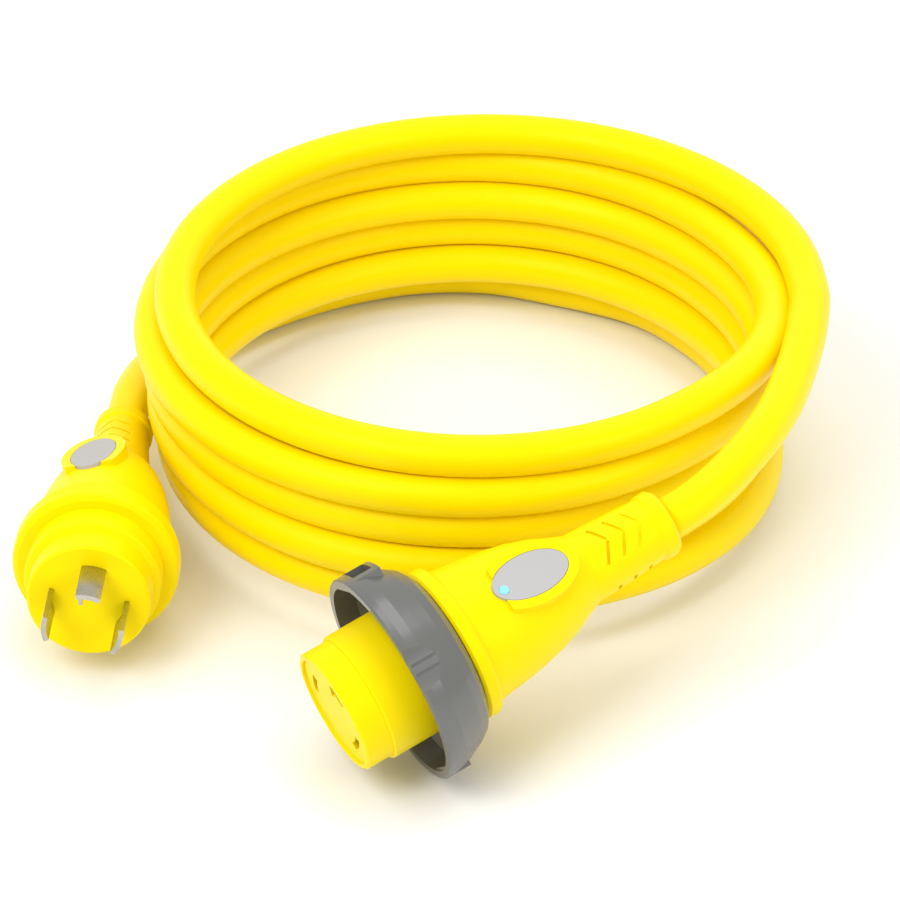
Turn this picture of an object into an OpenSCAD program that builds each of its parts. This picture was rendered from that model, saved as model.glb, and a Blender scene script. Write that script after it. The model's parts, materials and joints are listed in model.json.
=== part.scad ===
// Shore power cord set: a coiled three-conductor cord with a locking
// connector at one end and a locking plug at the other.
// The connector's axis lies in the plane X = 0 and its nose faces -Y.
// The floor is Z = 0. All lengths are in millimetres.

/* [Cord] */
// Diameter of the cord's jacket
cord_d = 15; // [14.6:0.1:15.2]
// Mean radius of the coil's top turn
coil_radius = 112; // [110:0.5:114]
// Drop from one turn of the coil to the next
turn_drop = 14; // [13.5:0.1:14.5]

/* [Connector] */
// Radius of the nose at its front
nose_r = 22.5; // [22:0.1:22.8]
// How far the nose stands in front of the coupling ring
nose_reach = 22.5; // [20:0.5:24]
// Outer radius of the coupling ring at its front rim
ring_r = 39; // [38.5:0.1:39.5]
// How far the nose dips below the horizontal, in degrees
nose_dip = 16; // [14:1:17]
// Roll of the connector about its own axis, in degrees
roll = 29; // [20:1:35]

/* [Plug] */
// Radius of the plug's face
face_r = 21.8; // [21.2:0.1:22.4]
// Radius of the plug's flange
flange_r = 29.6; // [29:0.1:30]
// Length of each blade in front of the face
blade_reach = 20; // [16:0.5:22]
// How far the plug's face points above the horizontal, in degrees
plug_rise = 3.5; // [3:0.1:4]

/* [Hidden] */
$fn = 72;

YELLOW = [1, 0.88, 0];
GREY = [0.55, 0.55, 0.53];
SILVER = [0.82, 0.81, 0.8];
BRASS = [0.8, 0.62, 0.3];
BLACK = [0.1, 0.1, 0.1];
WHITE = [0.92, 0.92, 0.9];
GREEN = [0.1, 0.5, 0.2];

cord_r = cord_d / 2;
fit = 0.1;

// Where the two ends lie: the centre of the ring's front rim, and of the flange's front.
ring_at = [0, -41.5, 37.3];
plug_at = [-119, -95.3, 30.1];
plug_heading = -32;
coil_at = [-150.7, 77, 0];

// Stations along each end's own axis, which points out of its face.
relief_end = -112;
relief_start = -78;
ring_depth = 22;
neck_r = 25.2;
neck_front = -12;
shell_bore = 20;
cavity_end = -46;
nose_step = 12.5;
blade_inner = 12.6;
blade_outer = 14.4;
contact_inner = 12;
contact_outer = 15;
badge_z = -52;
badge_size = [30, 16];
pad_size = [38, 23];
badge_tilt = 11;
badge_top = 22.6;
block_r = 17;
plug_front = -12;
plug_face_z = plug_front + 22.5;
shell_roll = 13;
blade_roll = -10;
wire_r = 2.3;

// Angle and width in degrees of each pole about the axis.
LINE = [-10, 44];
NEUTRAL = [190, 40];
GROUND = [90, 36];
POLES = [LINE, NEUTRAL, GROUND];
hook_angle = GROUND[0] + GROUND[1] / 2 - 6;

// Bell outline, as [radius, station] from the flange back to the strain relief.
BELL = [
    [25.6, -28.6], [24.8, -34], [23.9, -42], [22.6, -50], [20.8, -58], [18.2, -66],
    [15, -73], [13, relief_start]
];

// Route of the cord from the connector's relief to the coil.
CONNECTOR_ROUTE = [
    [0, 76.1, 71], [-2.6, 87.6, 73.9], [-7.5, 99.1, 76], [-14.6, 111.1, 77.1], [-23, 122.6, 77.5],
    [-32.7, 133.6, 77.5], [-44.2, 144.7, 77.5], [-58.3, 157.1, 77.5], [-75.1, 170, 77.5]
];

// Route of the cord from the coil to the plug's relief.
PLUG_ROUTE = [
    [-223.7, 165.9, 7.5], [-244.2, 153.8, 7.5], [-260, 137.6, 7.5], [-270.9, 116.5, 7.5],
    [-276.2, 93.3, 7.5], [-277, 69.5, 7.5], [-274.3, 45.7, 7.7], [-268.5, 25, 9.4],
    [-260, 7.5, 12.2], [-250, -6.5, 15.4], [-239, -17.6, 18.6], [-226.5, -27.6, 21.6],
    [-214, -35.8, 23.2]
];

// Where each end stands in the frame.
module at_connector() {
    translate(ring_at) rotate([90 + nose_dip, 0, 0]) rotate([0, 0, -roll]) children();
}

module at_plug(turned) {
    translate(plug_at) rotate([0, 0, plug_heading]) rotate([0, 90 - plug_rise, 0])
        rotate([0, 0, 90 + turned]) translate([0, 0, -plug_front]) children();
}

// A ring of rectangular section about the Z axis.
module ring(outer, inner, low, high) {
    rotate_extrude() translate([inner, low]) square([outer - inner, high - low]);
}

// A curved bar about the Z axis, centred on an angle.
module arc_bar(pole, inner, outer, low, high) {
    rotate([0, 0, pole[0] - pole[1] / 2])
        rotate_extrude(angle = pole[1])
            translate([inner, low]) square([outer - inner, high - low]);
}

module rod(a, b, r) {
    d = b - a;
    length = norm(d);
    translate(a)
        rotate([0, acos(d[2] / length), atan2(d[1], d[0])])
            cylinder(r = r, h = length);
}

function oval(size) = [
    for (a = [0 : 9 : 351]) [size[1] / 2 * cos(a), size[0] / 2 * sin(a)]
];

// A flat oval on the side that faces +Y, centred on the badge's station.
module oval_slab(size, low, high) {
    translate([0, 0, badge_z]) rotate([-90 - badge_tilt, 0, 0])
        translate([0, 0, low]) linear_extrude(high - low) polygon(oval(size));
}

function polar(r, a, z) = [r * cos(a), r * sin(a), z];

// ---------- the body that both ends share ----------

// Hollow bell with a flange; the cord's wires run in its cavity.
module bell_shell(flange, front, bore) {
    difference() {
        union() {
            rotate_extrude() polygon(concat(
                [[0, -28.6]], BELL, [[0, relief_start]]
            ));
            rotate_extrude() polygon([
                [0, -28.6], [25.6, -28.6], [flange - 0.8, -28.3], [flange, -27.4],
                [flange, -23.6], [flange - 0.9, -22.6], [0, -22.6]
            ]);
            children();
            intersection() {
                oval_slab(pad_size, 4, badge_top);
                rotate_extrude() polygon([
                    [0, -44], [30, -44], [30, relief_start], [0, relief_start]
                ]);
            }
        }
        translate([0, 0, cavity_end]) cylinder(r = bore, h = front - cavity_end + 1);
        translate([0, 0, relief_start - 10])
            cylinder(r1 = cord_r + fit, r2 = bore - 4, h = cavity_end - relief_start + 10.01);
        oval_slab([badge_size[0] + 0.4, badge_size[1] + 0.4], badge_top - 1.2, badge_top + 9);
    }
}

// Tapered sleeve with chevron grooves on top and short slots at its side.
module relief_sleeve(thinner) {
    difference() {
        rotate_extrude() polygon([
            [cord_r + fit, relief_start - 0.02], [13, relief_start - 0.02],
            [12.8 - thinner / 2, -84], [12.2 - thinner, -96], [11.6 - thinner, -104],
            [11.6 - thinner, -105.5], [12.3 - thinner, -106.5], [12.3 - thinner, -110.5],
            [11.2 - thinner, relief_end], [cord_r + fit, relief_end]
        ]);
        for (i = [0 : 2]) translate([0, 0, -86 - 6.5 * i]) {
            for (side = [-1, 1]) rotate([0, 0, 90]) rotate([0, 0, side * 18])
                translate([11.2 - thinner, 0, 0]) rotate([side * 28, 0, 0])
                    translate([0, -4.2, -0.6]) cube([4, 8.4, 1.2]);
            for (a = [-8, 188]) rotate([0, 0, a])
                translate([11.2 - thinner, -2.6, -0.7]) cube([4, 5.2, 1.4]);
        }
    }
}

module cord_tail() {
    translate([0, 0, relief_end]) cylinder(r = cord_r, h = relief_start - relief_end + 3);
}

// Wire of one pole, from the jacket's end to its terminal.
module pole_wire(pole) {
    rod(polar(3.6, pole[0], relief_start + 3.7), polar(9.5, pole[0], -36.6), wire_r);
}

// Disc that closes the cavity behind the contacts, with a hole for each tab.
module insulator_disc(r) {
    difference() {
        translate([0, 0, -36]) cylinder(r = r, h = 4);
        for (pole = POLES) arc_bar([pole[0], pole[1] + 3], 11.2, 15.8, -37, -31);
    }
}

module terminal_screws(seat) {
    for (pole = POLES) rotate([0, 0, pole[0]]) translate([0, 0, -41]) difference() {
        translate([seat + 0.02, 0, 0]) rotate([0, 90, 0]) cylinder(r = 2.6, h = 2.2);
        translate([seat + 1.4, -3, -0.4]) cube([2, 6, 0.8]);
    }
}

// ---------- connector ----------

module connector_housing() {
    color(YELLOW) at_connector() bell_shell(28.4, neck_front, shell_bore) {
        translate([0, 0, -22.8]) cylinder(r = neck_r, h = neck_front + 22.8);
    };
}

module connector_nose() {
    color(YELLOW) at_connector() rotate_extrude() polygon([
        [block_r + fit, neck_front], [23.7, neck_front], [23.7, nose_step - 0.6],
        [23.1, nose_step], [nose_r, nose_step], [nose_r, nose_reach - 0.8],
        [nose_r - 0.8, nose_reach], [20.3, nose_reach], [20.3, nose_reach - 3],
        [block_r + fit, nose_reach - 3]
    ]);
}

// Core of the nose, with an open notch for each contact.
module contact_block() {
    color(YELLOW) at_connector() difference() {
        rotate_extrude() polygon([
            [0, -32], [shell_bore - fit, -32], [shell_bore - fit, neck_front - 0.1],
            [block_r, neck_front - 0.1], [block_r, nose_reach - 3.1], [0, nose_reach - 3.1]
        ]);
        for (pole = POLES) arc_bar([pole[0], pole[1] + 4], 11, 22, -33, nose_reach);
    }
}

module connector_face_plate() {
    color(YELLOW) at_connector() difference() {
        translate([0, 0, nose_reach - 3]) cylinder(r = 20.2, h = 2);
        for (pole = [LINE, NEUTRAL])
            arc_bar(pole, blade_inner - 0.5, blade_outer + 0.5, nose_reach - 4, nose_reach);
        arc_bar(GROUND, blade_inner - 0.5, blade_outer + 0.5, nose_reach - 4, nose_reach);
        arc_bar([hook_angle, 10], 9.4, blade_inner + 0.6, nose_reach - 4, nose_reach);
    }
}

// Two thin leaves that grip a blade, joined at the back by a tab.
module spring_contact(pole) {
    at_connector() union() {
        arc_bar(pole, contact_inner - 0.6, contact_inner + 0.3, -28, nose_reach - 5);
        arc_bar(pole, contact_outer - 0.3, contact_outer + 0.6, -28, nose_reach - 5);
        arc_bar(pole, contact_inner - 0.6, contact_outer + 0.6, -30, -27.99);
        arc_bar([pole[0], 24], contact_inner, contact_outer, -44, -28.5);
    }
}

module line_contact() { color(SILVER) spring_contact(LINE); }
module neutral_contact() { color(SILVER) spring_contact(NEUTRAL); }
module ground_contact() { color(SILVER) spring_contact(GROUND); }

module connector_insulator() {
    color(BLACK) at_connector() insulator_disc(shell_bore - fit);
}

module connector_terminal_screws() {
    color(BRASS) at_connector() terminal_screws(contact_outer);
}

// Domed ring with a block, a lug and two finger grips.
module coupling_ring() {
    color(GREY) at_connector() difference() {
        union() {
            rotate_extrude() polygon([
                [ring_r - 3.2, 0], [ring_r - 0.5, 0], [ring_r, -0.8], [ring_r, -3],
                [38.3, -7], [36.6, -11], [34.4, -16], [32, -19.6], [29.6, -21.4],
                [28.6, -ring_depth], [neck_r + 0.3, -ring_depth], [neck_r + 0.3, -15],
                [30, -15], [32.6, -13], [34.8, -8]
            ]);
            intersection() {
                union() {
                    rotate([0, 0, 148]) translate([34.5, -9, -13]) cube([6.6, 18, 12.4]);
                    rotate([0, 0, -22]) translate([34.5, -7, -9]) cube([6.2, 14, 8.4]);
                }
                translate([0, 0, -ring_depth]) cylinder(r = ring_r, h = ring_depth);
            }
            for (a = [20, 140, 260]) rotate([0, 0, a]) translate([33.4, -2, -10])
                cube([2.4, 4, 8.5]);
        }
        rotate([0, 0, 148]) translate([30, -6, -11]) cube([12, 12, 7.4]);
        for (a = [69, 249]) rotate([0, 0, a]) {
            translate([58.4, 0, -19]) cylinder(r = 21.6, h = 20);
            for (y = [-2.4, 1.2]) translate([36.4, y, -17]) cube([4, 1, 16]);
        }
    }
}

module ring_retainer() {
    color(BLACK) at_connector() difference() {
        ring(27.6, neck_r, -14.6, -13);
        translate([20, -3, -16]) cube([10, 6, 6]);
    }
}

module seal_gasket() {
    color(BLACK) at_connector() ring(27, 23.7, neck_front, neck_front + 2.6);
}

module connector_strain_relief() { color(YELLOW) at_connector() relief_sleeve(0); }

module badge_plate(with_lens) {
    difference() {
        oval_slab(badge_size, badge_top - 1.2, badge_top);
        if (with_lens) lens_place() cylinder(r = 1.6 + fit, h = 6, center = true);
    }
}

module lens_place() {
    translate([0, 0, badge_z]) rotate([-90 - badge_tilt, 0, 0])
        translate([1, -11.5, badge_top]) children();
}

module connector_badge() { color(SILVER) at_connector() badge_plate(true); }

module led_lens() {
    color([0.35, 0.75, 1]) at_connector() lens_place()
        translate([0, 0, -1.2]) cylinder(r = 1.6, h = 1.5);
}

module led_board() {
    color(GREEN) at_connector() translate([-4, 10.9, -57]) cube([8, 1.4, 9]);
}

module connector_line_wire() { color(BLACK) at_connector() pole_wire(LINE); }
module connector_neutral_wire() { color(WHITE) at_connector() pole_wire(NEUTRAL); }
module connector_ground_wire() { color(GREEN) at_connector() pole_wire(GROUND); }
module connector_cord_tail() { color(YELLOW) at_connector() cord_tail(); }

// ---------- plug ----------

module plug_housing() {
    color(YELLOW) at_plug(shell_roll) bell_shell(26.6, plug_front, shell_bore) {
        rotate_extrude() polygon([
            [0, -24], [26, -24], [27.6, -22.6], [flange_r, plug_front - 8.4],
            [flange_r, plug_front - 2.2], [28.9, plug_front - 0.7], [27.4, plug_front],
            [0, plug_front]
        ]);
    };
}

module plug_face() {
    color(YELLOW) at_plug(blade_roll) difference() {
        rotate_extrude() polygon([
            [0, -32], [shell_bore - fit, -32], [shell_bore - fit, plug_front],
            [24.2, plug_front], [24.2, plug_front + 9.4], [23.6, plug_front + 10.2],
            [face_r, plug_front + 11], [face_r, plug_face_z - 0.8],
            [face_r - 0.8, plug_face_z], [0, plug_face_z]
        ]);
        for (pole = POLES) arc_bar(pole, blade_inner, blade_outer, -33, plug_face_z + 1);
    }
}

// Curved blade with a tab behind the face; the ground blade has a hook at its tip.
module blade(pole, hooked) {
    tip = plug_face_z + blade_reach;
    at_plug(blade_roll) union() {
        arc_bar(pole, blade_inner, blade_outer, -44, tip);
        if (hooked) arc_bar([hook_angle, 7], 9.8, blade_inner + 0.6, tip - 8, tip - 0.7);
    }
}

module line_blade() { color(SILVER) blade(LINE, false); }
module neutral_blade() { color(SILVER) blade(NEUTRAL, false); }
module ground_blade() { color(SILVER) blade(GROUND, true); }
module plug_insulator() { color(BLACK) at_plug(blade_roll) insulator_disc(shell_bore - fit); }
module plug_terminal_screws() { color(BRASS) at_plug(blade_roll) terminal_screws(blade_outer); }
module plug_strain_relief() { color(YELLOW) at_plug(shell_roll) relief_sleeve(1.6); }
module plug_badge() { color(SILVER) at_plug(shell_roll) badge_plate(false); }
module plug_line_wire() { color(BLACK) at_plug(blade_roll) pole_wire(LINE); }
module plug_neutral_wire() { color(WHITE) at_plug(blade_roll) pole_wire(NEUTRAL); }
module plug_ground_wire() { color(GREEN) at_plug(blade_roll) pole_wire(GROUND); }
module plug_cord_tail() { color(YELLOW) at_plug(blade_roll) cord_tail(); }

// ---------- cord ----------

// Smooth curve through the route's points.
function spline(p, i, u) =
    let (a = p[max(i - 1, 0)], b = p[i], c = p[i + 1], d = p[min(i + 2, len(p) - 1)])
    0.5 * (2 * b + (c - a) * u + (2 * a - 5 * b + 4 * c - d) * u * u
        + (3 * b - a - 3 * c + d) * u * u * u);

function route_points(p, steps) = concat(
    [for (i = [0 : len(p) - 2]) for (k = [0 : steps - 1]) spline(p, i, k / steps)],
    [p[len(p) - 1]]
);

function unit(v) = v / norm(v);

// Direction of the route at one of its points; the two ends follow the end axes.
function heading(q, i, first, last) =
    i == 0 ? first : i == len(q) - 1 ? last : unit(q[i + 1] - q[i - 1]);

// Tube of the cord's diameter along a route.
module cord_tube(route, first, last) {
    sides = 12;
    q = route_points(route, 2);
    rings = [
        for (i = [0 : len(q) - 1])
            let (t = heading(q, i, first, last), s = unit(cross([0, 0, 1], t)), n = cross(t, s))
            for (k = [0 : sides - 1])
                let (a = 360 * k / sides) q[i] + cord_r * (cos(a) * s + sin(a) * n)
    ];
    count = len(q);
    faces = concat(
        [[for (k = [0 : sides - 1]) k]],
        [for (i = [0 : count - 2]) for (k = [0 : sides - 1])
            let (m = (k + 1) % sides)
            [i * sides + k, (i + 1) * sides + k, (i + 1) * sides + m, i * sides + m]],
        [[for (k = [sides - 1 : -1 : 0]) (count - 1) * sides + k]]
    );
    polyhedron(points = rings, faces = faces, convexity = 6);
}

// Outward direction of each end's back, and where the jacket leaves its relief.
connector_back = [0, cos(nose_dip), sin(nose_dip)];
connector_exit = ring_at - (relief_end - fit) * connector_back;
plug_back = [
    -cos(plug_heading) * cos(plug_rise), -sin(plug_heading) * cos(plug_rise),
    -sin(plug_rise)
];
plug_exit = plug_at + (plug_front - relief_end + fit) * plug_back;

module connector_lead() {
    color(YELLOW) cord_tube(concat([connector_exit], CONNECTOR_ROUTE), connector_back,
        unit([-20, 13, 0]));
}

module plug_lead() {
    color(YELLOW) cord_tube(concat(PLUG_ROUTE, [plug_exit]), unit([-19, -11, 0]), -plug_back);
}

// Outer shape of the wound turns.
module cord_coil() {
    inner = coil_radius - 20;
    top = 5 * turn_drop + cord_d;
    color(YELLOW) translate(coil_at) rotate_extrude($fn = 96) polygon([
        [inner + 6, 0], [coil_radius + 2, 0], [coil_radius + 6, 4], [coil_radius + 6, 40],
        [coil_radius + 15, 54], [coil_radius + 15, top - 5], [coil_radius + 10, top],
        [inner + 8, top], [inner, top - 8], [inner, 6]
    ]);
}

connector_housing();
connector_nose();
contact_block();
connector_face_plate();
line_contact();
neutral_contact();
ground_contact();
connector_insulator();
connector_terminal_screws();
coupling_ring();
ring_retainer();
seal_gasket();
connector_strain_relief();
connector_badge();
led_lens();
led_board();
connector_line_wire();
connector_neutral_wire();
connector_ground_wire();
connector_cord_tail();
plug_housing();
plug_face();
line_blade();
neutral_blade();
ground_blade();
plug_insulator();
plug_terminal_screws();
plug_strain_relief();
plug_badge();
plug_line_wire();
plug_neutral_wire();
plug_ground_wire();
plug_cord_tail();
connector_lead();
cord_coil();
plug_lead();
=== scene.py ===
"""Looks of a coiled shore power cord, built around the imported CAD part."""
import json
import math

import bpy
import numpy as np
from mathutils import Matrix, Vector


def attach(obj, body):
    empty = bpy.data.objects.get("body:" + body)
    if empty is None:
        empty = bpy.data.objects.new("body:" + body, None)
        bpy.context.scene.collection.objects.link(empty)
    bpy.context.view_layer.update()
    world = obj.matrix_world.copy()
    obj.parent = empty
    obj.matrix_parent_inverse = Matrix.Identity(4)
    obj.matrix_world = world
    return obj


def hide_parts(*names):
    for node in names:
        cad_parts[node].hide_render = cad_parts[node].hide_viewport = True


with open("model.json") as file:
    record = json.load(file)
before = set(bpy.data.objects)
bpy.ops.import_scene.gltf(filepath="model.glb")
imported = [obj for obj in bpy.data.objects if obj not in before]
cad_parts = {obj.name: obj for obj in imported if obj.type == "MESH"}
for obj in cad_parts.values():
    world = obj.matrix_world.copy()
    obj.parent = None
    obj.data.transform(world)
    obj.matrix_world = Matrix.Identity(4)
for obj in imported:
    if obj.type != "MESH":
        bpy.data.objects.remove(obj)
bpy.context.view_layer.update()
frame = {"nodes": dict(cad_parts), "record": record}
nodes = frame["nodes"]

# ---------- sizes and routes, in millimetres, as in part.scad ----------
CORD_D = 15.0
TURN_DROP = 14.0
COIL_AT = (-150.7, 77.0)
TOP_Z = 77.5
CONNECTOR_ROUTE = [
    (0, 66.2, 68.2), (0, 76.1, 71), (-2.6, 87.6, 73.9), (-7.5, 99.1, 76), (-14.6, 111.1, 77.1),
    (-23, 122.6, 77.5), (-32.7, 133.6, 77.5), (-44.2, 144.7, 77.5), (-58.3, 157.1, 77.5),
    (-75.1, 170, 77.5),
]
PLUG_ROUTE = [
    (-244.2, 153.8, 7.5), (-260, 137.6, 7.5), (-270.9, 116.5, 7.5), (-276.2, 93.3, 7.5),
    (-277, 69.5, 7.5), (-274.3, 45.7, 7.7), (-268.5, 25, 9.4), (-260, 7.5, 12.2),
    (-250, -6.5, 15.4), (-239, -17.6, 18.6), (-226.5, -27.6, 21.6), (-214, -35.8, 23.2),
    (-203.7, -42.3, 24),
]
# How far the cord runs from the coil's middle, at the right, back, left and front of each turn.
# Eleven of these were fitted by another script and not chosen by hand.
RADII = [
    119.1, 112.1, 110.9, 111,
    107.3, 115.1, 118.6, 115,
    104.5, 110.8, 115.5, 113,
    103.4, 115.3, 114.5, 117.5,
    101.1, 110.5, 111.5, 116,
    104.5, 125, 127,
]
COILED_TURNS = 5.17
STEPS_A_TURN = 24
STEPS_BETWEEN = 8
POINT_SPACING = 4.0
COIL_START = 61
# In turns: where each turn begins to step down before its end, and how long the step takes.
DROP_EARLY = 0.15
DROP_LENGTH = 0.27
LAST_DROP_AT = 4.75
LAST_DROP_LENGTH = 0.3
DROPS_BEFORE_LAST = 4
MM = 1000


# ---------- the cord ----------
def smooth(f):
    f = min(max(f, 0.0), 1.0)
    return f * f * (3 - 2 * f)


def between(a, b, c, d, u):
    """The part u of the way from b to c, on a smooth curve that a and d bend."""
    return 0.5 * (2 * b + (c - a) * u + (2 * a - 5 * b + 4 * c - d) * u * u
                  + (3 * b - a - 3 * c + d) * u ** 3)


def around(points, i):
    """Point i and the next one, with a neighbour on each side."""
    last = len(points) - 1
    return points[max(i - 1, 0)], points[i], points[i + 1], points[min(i + 2, last)]


def coil_point(t):
    """Where the coiled cord is after t turns, counted from where it joins the top turn."""
    i = min(int(4 * t), len(RADII) - 2)
    radius = between(*around(RADII, i), 4 * t - i)
    level = math.floor(t + DROP_EARLY)
    if t >= LAST_DROP_AT:
        drops = DROPS_BEFORE_LAST + smooth((t - LAST_DROP_AT) / LAST_DROP_LENGTH)
    elif level >= 1:
        drops = level - 1 + smooth((t + DROP_EARLY - level) / DROP_LENGTH)
    else:
        drops = 0.0
    angle = math.radians(COIL_START + 360 * t)
    return (COIL_AT[0] + radius * math.cos(angle), COIL_AT[1] + radius * math.sin(angle),
            TOP_Z - TURN_DROP * drops)


def curve_through(points, steps):
    """A smooth curve through the points."""
    p = np.array(points, float)
    line = []
    for i in range(len(p) - 1):
        for k in range(steps):
            line.append(between(*around(p, i), k / steps))
    line.append(p[-1])
    return np.array(line)


def evenly(line, step):
    """The line again, with its points about a step apart, and its length."""
    along = np.concatenate([[0], np.cumsum(np.linalg.norm(np.diff(line, axis=0), axis=1))])
    at = np.linspace(0, along[-1], int(math.ceil(along[-1] / step)) + 1)
    return np.stack([np.interp(at, along, line[:, k]) for k in range(3)], axis=1), along[-1]


def tube(name, line, radius, sides=32):
    """A round tube along a line of points, closed at both ends."""
    tangents = np.gradient(line, axis=0)
    tangents /= np.linalg.norm(tangents, axis=1)[:, None]
    n = np.cross(tangents[0], (0, 0, 1.0))
    n /= np.linalg.norm(n)
    verts = []
    for i, (p, t) in enumerate(zip(line, tangents)):
        n = n - t * np.dot(n, t)
        n /= np.linalg.norm(n)
        b = np.cross(t, n)
        for k in range(sides):
            a = 2 * math.pi * k / sides
            verts.append(p + radius * (math.cos(a) * n + math.sin(a) * b))
    faces = []
    for i in range(len(line) - 1):
        for k in range(sides):
            m = (k + 1) % sides
            faces.append((i * sides + k, i * sides + m, (i + 1) * sides + m, (i + 1) * sides + k))
    faces.append(tuple(range(sides))[::-1])
    last = (len(line) - 1) * sides
    faces.append(tuple(last + k for k in range(sides)))
    mesh = bpy.data.meshes.new(name)
    mesh.from_pydata([tuple(v) for v in verts], [], faces)
    mesh.update()
    mesh.polygons.foreach_set("use_smooth", [True] * len(faces))
    mesh.polygons[len(faces) - 1].use_smooth = False
    mesh.polygons[len(faces) - 2].use_smooth = False
    o = bpy.data.objects.new(name, mesh)
    bpy.context.scene.collection.objects.link(o)
    return o


coil_points = [coil_point(k / STEPS_A_TURN) for k in range(int(COILED_TURNS * STEPS_A_TURN) + 1)]
route = curve_through(CONNECTOR_ROUTE + coil_points + PLUG_ROUTE, STEPS_BETWEEN)
route, cord_mm = evenly(route, POINT_SPACING)
route = route / MM
cord = tube("cord_jacket", route, CORD_D / 2 / MM)
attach(cord, "root")
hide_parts("connector_lead", "cord_coil", "plug_lead")
plug_nodes = [n for n in sorted(nodes) if n.startswith("plug_") and n != "plug_lead"]
plug_nodes += ["line_blade", "neutral_blade", "ground_blade"]


# ---------- materials ----------
def material(name, colour, roughness, metallic=0.0, **sockets):
    m = bpy.data.materials.new(name)
    m.use_nodes = True
    tree = m.node_tree
    shader = tree.nodes["Principled BSDF"]
    shader.inputs["Base Color"].default_value = (*colour, 1)
    shader.inputs["Roughness"].default_value = roughness
    shader.inputs["Metallic"].default_value = metallic
    for key, value in sockets.items():
        shader.inputs[key.replace("_", " ")].default_value = value
    m.diffuse_color = (*colour, 1)
    return m, tree, shader


def noise(tree, scale, detail=3.0, rough=0.5, stretch=None):
    """A noise over the piece, drawn out if stretch gives a rotation and a scale."""
    coord = tree.nodes.new("ShaderNodeTexCoord")
    n = tree.nodes.new("ShaderNodeTexNoise")
    n.inputs["Scale"].default_value = scale
    n.inputs["Detail"].default_value = detail
    n.inputs["Roughness"].default_value = rough
    if stretch is None:
        tree.links.new(coord.outputs["Object"], n.inputs["Vector"])
    else:
        mapping = tree.nodes.new("ShaderNodeMapping")
        mapping.inputs["Rotation"].default_value = stretch[0]
        mapping.inputs["Scale"].default_value = stretch[1]
        tree.links.new(coord.outputs["Object"], mapping.inputs["Vector"])
        tree.links.new(mapping.outputs["Vector"], n.inputs["Vector"])
    return n.outputs["Fac"]


def ramp(tree, source, low, high, a, b):
    """Maps a value between low and high to the colours a and b."""
    r = tree.nodes.new("ShaderNodeValToRGB")
    r.color_ramp.elements[0].position, r.color_ramp.elements[1].position = low, high
    r.color_ramp.elements[0].color, r.color_ramp.elements[1].color = (*a, 1), (*b, 1)
    tree.links.new(source, r.inputs["Fac"])
    return r.outputs["Color"]


def spread(tree, source, low, high):
    """Maps the middle of a noise to values from low to high."""
    r = tree.nodes.new("ShaderNodeMapRange")
    r.inputs["From Min"].default_value, r.inputs["From Max"].default_value = 0.3, 0.7
    r.inputs["To Min"].default_value, r.inputs["To Max"].default_value = low, high
    tree.links.new(source, r.inputs["Value"])
    return r.outputs["Result"]


def bump(tree, shader, source, distance, strength=1.0, after=None):
    b = tree.nodes.new("ShaderNodeBump")
    b.inputs["Distance"].default_value = distance
    b.inputs["Strength"].default_value = strength
    tree.links.new(source, b.inputs["Height"])
    if after is not None:
        tree.links.new(after, b.inputs["Normal"])
    tree.links.new(b.outputs["Normal"], shader.inputs["Normal"])
    return b.outputs["Normal"]


def plastic(name, colour, variation, roughness, grain, grain_mm, shine=0.28, tint=(1, 1, 1)):
    """Moulded plastic: faint colour and gloss variation, and a fine surface grain."""
    m, tree, shader = material(name, colour, roughness, Specular_IOR_Level=shine,
                               Specular_Tint=(*tint, 1))
    soft = noise(tree, 14, 2)
    darker = tuple(c * (1 - variation) for c in colour)
    tree.links.new(ramp(tree, soft, 0.35, 0.65, darker, colour), shader.inputs["Base Color"])
    tree.links.new(spread(tree, noise(tree, 60, 4), roughness * 0.86, roughness * 1.16),
                   shader.inputs["Roughness"])
    wave = bump(tree, shader, noise(tree, 35, 1), 0.0003, 0.35)
    bump(tree, shader, noise(tree, grain, 3, 0.6), grain_mm / MM, 0.6, wave)
    return m


YELLOW = (0.93, 0.72, 0.0)
WARM = (1.0, 0.85, 0.25)
yellow = plastic("yellow_moulding", YELLOW, 0.03, 0.42, 1500, 0.05, 0.2, WARM)
jacket = plastic("cord_jacket", (0.95, 0.725, 0.0), 0.03, 0.36, 900, 0.06, 0.2,
                 WARM)
grey = plastic("grey_ring", (0.12, 0.12, 0.113), 0.08, 0.24, 1400, 0.03, 0.8)
black = plastic("black_insulator", (0.02, 0.02, 0.021), 0.2, 0.5, 1200, 0.05)
black_wire = plastic("black_wire", (0.015, 0.015, 0.016), 0.2, 0.4, 1000, 0.04)
white_wire = plastic("white_wire", (0.75, 0.75, 0.72), 0.08, 0.4, 1000, 0.04)
green_wire = plastic("green_wire", (0.02, 0.17, 0.05), 0.15, 0.4, 1000, 0.04)


def metal(name, colour, roughness, scratch_mm):
    """Plated or bare metal, with fine drawn lines and a little staining."""
    m, tree, shader = material(name, colour, roughness, metallic=1.0)
    lines = noise(tree, 120, 4, 0.6, ((0.3, 0.2, 0.9), (1.0, 14.0, 14.0)))
    stain = noise(tree, 90, 3)
    darker = tuple(c * 0.72 for c in colour)
    tree.links.new(ramp(tree, stain, 0.3, 0.62, darker, colour), shader.inputs["Base Color"])
    tree.links.new(spread(tree, lines, roughness * 0.75, roughness * 1.3),
                   shader.inputs["Roughness"])
    bump(tree, shader, lines, scratch_mm / MM, 0.7)
    return m


plated = metal("plated_metal", (0.50, 0.47, 0.41), 0.24, 0.03)
brass = metal("brass_screw", (0.78, 0.56, 0.25), 0.3, 0.03)
badge = plastic("badge_plate", (0.42, 0.41, 0.40), 0.05, 0.34, 2500, 0.02)

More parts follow.
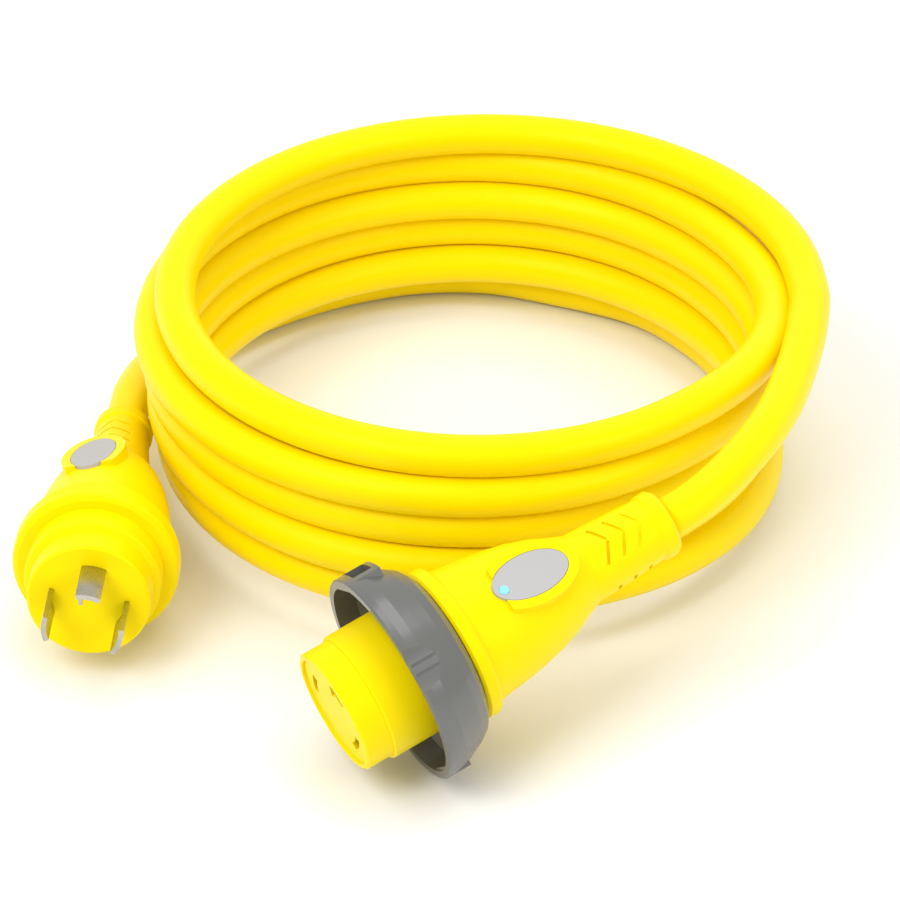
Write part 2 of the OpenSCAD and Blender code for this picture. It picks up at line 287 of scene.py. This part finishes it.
lens, tree, shader = material("led_lens", (0.12, 0.55, 1.0), 0.15)
shader.inputs["Emission Color"].default_value = (0.1, 0.5, 1.0, 1)
shader.inputs["Emission Strength"].default_value = 0.6
tree.links.new(ramp(tree, noise(tree, 700, 2), 0.3, 0.7, (0.09, 0.45, 0.95), (0.2, 0.65, 1.0)),
               shader.inputs["Base Color"])

LOOKS = {
    "yellow_moulding": yellow, "cord_jacket": jacket, "grey_ring": grey,
    "plated_metal": plated, "brass_screw": brass, "badge_plate": badge, "led_lens": lens,
    "black_insulator": black, "black_wire": black_wire, "white_wire": white_wire,
    "green_wire": green_wire,
}


def give(o, m):
    o.data.materials.clear()
    o.data.materials.append(m)


for part in frame["record"]["subparts"]:
    give(nodes[part["node"]], LOOKS[part["material_slot"]])
give(cord, jacket)

# ---------- floor, light and camera ----------
FLOOR_HALF = 6.0
FLOOR_Z = -0.0004
floor_mesh = bpy.data.meshes.new("floor")
corners = [(-1, -1), (1, -1), (1, 1), (-1, 1)]
floor_mesh.from_pydata([(x * FLOOR_HALF, y * FLOOR_HALF, FLOOR_Z) for x, y in corners], [],
                       [(0, 1, 2, 3)])
floor = bpy.data.objects.new("floor", floor_mesh)
bpy.context.scene.collection.objects.link(floor)
floor_look, tree, shader = material("floor", (0.86, 0.86, 0.86), 0.85)
tree.links.new(ramp(tree, noise(tree, 3, 2), 0.3, 0.7, (0.85, 0.85, 0.85), (0.88, 0.88, 0.88)),
               shader.inputs["Base Color"])
give(floor, floor_look)

world = bpy.data.worlds.new("studio")
bpy.context.scene.world = world
world.use_nodes = True
world.node_tree.nodes["Background"].inputs["Color"].default_value = (1, 1, 1, 1)
world.node_tree.nodes["Background"].inputs["Strength"].default_value = 0.75


def softbox(name, at, aim, size, power):
    light = bpy.data.lights.new(name, "AREA")
    light.shape = "RECTANGLE"
    light.size, light.size_y = size
    light.energy = power
    o = bpy.data.objects.new(name, light)
    o.location = at
    o.rotation_euler = (Vector(aim) - Vector(at)).to_track_quat("-Z", "Y").to_euler()
    bpy.context.scene.collection.objects.link(o)
    return o


middle = Vector((-0.13, 0.06, 0.03))
softbox("key", (0.2, -1.3, 1.6), middle, (1.2, 1.2), 22)
softbox("fill", (1.5, 0.7, 1.1), middle, (1.0, 1.0), 8)
softbox("top", (-0.3, 0.4, 1.8), middle, (1.4, 1.4), 12)

CAMERA_AT = (1.5253, -0.852, 1.2565)
CAMERA_AIM = (-0.129, 0.0526, 0.0278)
camera = bpy.data.objects.new("camera", bpy.data.cameras.new("camera"))
camera.data.sensor_width = 36
camera.data.lens = 247.8
camera.data.clip_end = 50
camera.location = CAMERA_AT
camera.rotation_euler = (Vector(CAMERA_AIM) - camera.location).to_track_quat("-Z", "Y").to_euler()
bpy.context.scene.collection.objects.link(camera)
bpy.context.scene.camera = camera
bpy.context.scene.view_settings.view_transform = "Standard"
